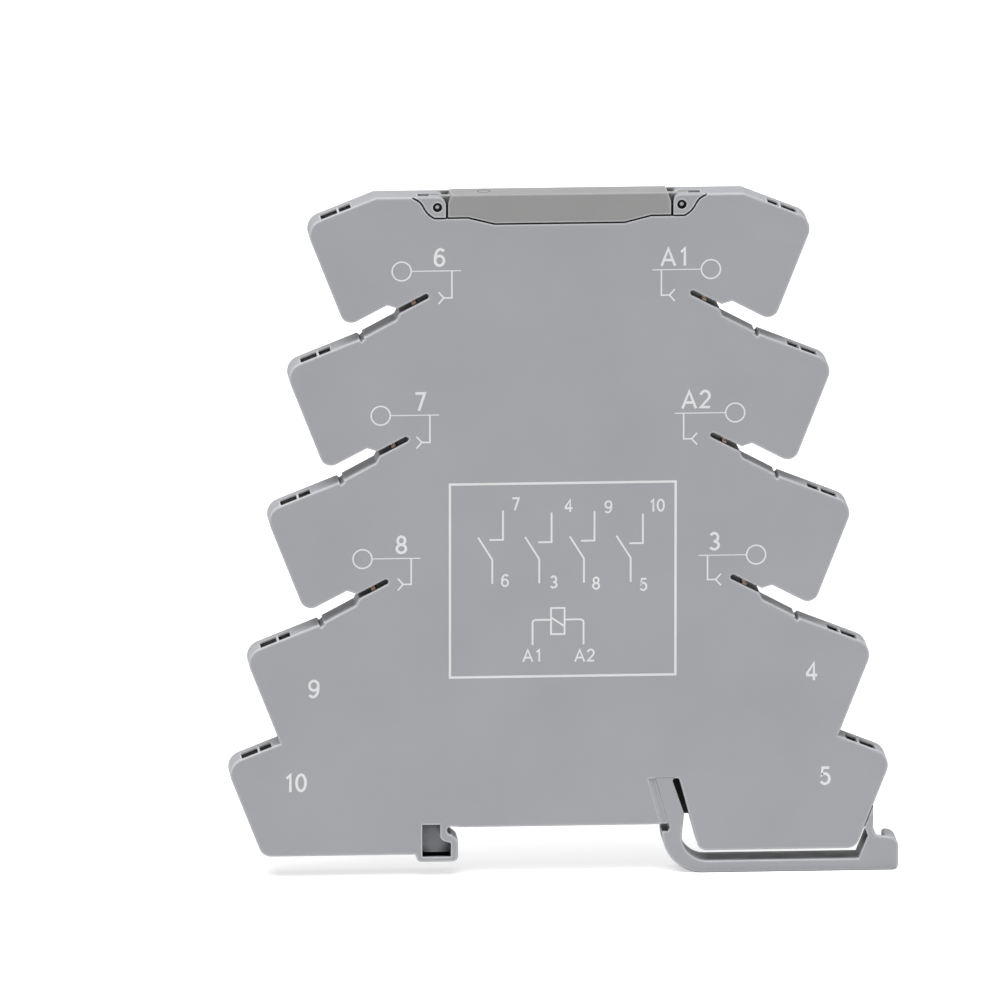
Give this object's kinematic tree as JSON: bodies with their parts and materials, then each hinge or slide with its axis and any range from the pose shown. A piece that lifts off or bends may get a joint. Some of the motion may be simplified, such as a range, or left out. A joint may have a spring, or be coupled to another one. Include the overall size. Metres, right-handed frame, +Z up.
{
  "type": "din rail relay module",
  "caption": "Slim relay module with stepped terminal arms, jumper slots, a hinged lid and a sprung latch for a 35 mm rail.",
  "frame": {"origin": "middle of the seat that rests on the rail", "axes": "+X along the width towards the latch, +Y through the thickness away from the printed face, +Z up"},
  "size_m": [0.1055, 0.0062, 0.1094],
  "materials": {
    "housing": "fine matte moulded grey polyamide",
    "lid": "matte moulded grey, darker and warmer than the housing",
    "light_guide": "frosted clear plastic",
    "steel": "stainless spring steel",
    "copper": "bare copper alloy",
    "board": "green solder mask on glass fibre",
    "lamp": "clear lamp body",
    "black_plastic": "matte black moulding",
    "winding": "enamelled copper wire",
    "iron": "plated soft iron"
  },
  "bodies": {
    "housing": {"rear_shell": "housing", "front_cover": "housing", "latch_leaf": "housing", "hinge_pin": "steel", "snap_pin": "steel", "circuit_board": "board", "indicator_lamp": "lamp", "suppressor_diode": "black_plastic", "terminal_6_bar": "copper", "terminal_6_spring": "steel", "terminal_7_bar": "copper", "terminal_7_spring": "steel", "terminal_8_bar": "copper", "terminal_8_spring": "steel", "terminal_9_bar": "copper", "terminal_9_spring": "steel", "terminal_10_bar": "copper", "terminal_10_spring": "steel", "terminal_a1_bar": "copper", "terminal_a1_spring": "steel", "terminal_a2_bar": "copper", "terminal_a2_spring": "steel", "terminal_3_bar": "copper", "terminal_3_spring": "steel", "terminal_4_bar": "copper", "terminal_4_spring": "steel", "terminal_5_bar": "copper", "terminal_5_spring": "steel", "relay_1_case": "black_plastic", "relay_1_base": "black_plastic", "relay_1_coil": "winding", "relay_1_core": "iron", "relay_1_fixed_contact": "copper", "relay_2_case": "black_plastic", "relay_2_base": "black_plastic", "relay_2_coil": "winding", "relay_2_core": "iron", "relay_2_fixed_contact": "copper", "relay_3_case": "black_plastic", "relay_3_base": "black_plastic", "relay_3_coil": "winding", "relay_3_core": "iron", "relay_3_fixed_contact": "copper", "relay_4_case": "black_plastic", "relay_4_base": "black_plastic", "relay_4_coil": "winding", "relay_4_core": "iron", "relay_4_fixed_contact": "copper"},
    "latch": {"rail_latch": "housing"},
    "lid": {"top_cover": "lid", "light_guide": "light_guide"},
    "armature_1": {"relay_1_armature": "iron", "relay_1_contact_spring": "copper"},
    "armature_2": {"relay_2_armature": "iron", "relay_2_contact_spring": "copper"},
    "armature_3": {"relay_3_armature": "iron", "relay_3_contact_spring": "copper"},
    "armature_4": {"relay_4_armature": "iron", "relay_4_contact_spring": "copper"}
  },
  "joints": [
    {"name": "lid_hinge", "type": "hinge", "parent": "housing", "child": "lid", "pos_m": [-0.0192, 0, 0.0996], "axis": [0, -1, 0], "range_deg": [0, 88]},
    {"name": "latch_slide", "type": "slide", "parent": "housing", "child": "latch", "axis": [1, 0, 0], "range_m": [0, 0.0011], "stiffness_N_per_m": 3000, "springref_m": -0.0003, "deforming": ["latch_leaf"]},
    {"name": "armature_1_tilt", "type": "hinge", "parent": "housing", "child": "armature_1", "pos_m": [-0.01155, 0, 0.0212], "axis": [0, 1, 0], "range_deg": [0, 2.5], "stiffness_Nm_per_rad": 0.004, "springref_deg": -2.86},
    {"name": "armature_2_tilt", "type": "hinge", "parent": "housing", "child": "armature_2", "pos_m": [-0.01155, 0, 0.0412], "axis": [0, 1, 0], "range_deg": [0, 2.5], "stiffness_Nm_per_rad": 0.004, "springref_deg": -2.86},
    {"name": "armature_3_tilt", "type": "hinge", "parent": "housing", "child": "armature_3", "pos_m": [-0.01155, 0, 0.0612], "axis": [0, 1, 0], "range_deg": [0, 2.5], "stiffness_Nm_per_rad": 0.004, "springref_deg": -2.86},
    {"name": "armature_4_tilt", "type": "hinge", "parent": "housing", "child": "armature_4", "pos_m": [-0.01155, 0, 0.0812], "axis": [0, 1, 0], "range_deg": [0, 2.5], "stiffness_Nm_per_rad": 0.004, "springref_deg": -2.86}
  ],
  "couplings": [
    {"joint": "armature_2_tilt", "follows": "armature_1_tilt", "ratio": 1},
    {"joint": "armature_3_tilt", "follows": "armature_1_tilt", "ratio": 1},
    {"joint": "armature_4_tilt", "follows": "armature_1_tilt", "ratio": 1}
  ]
}
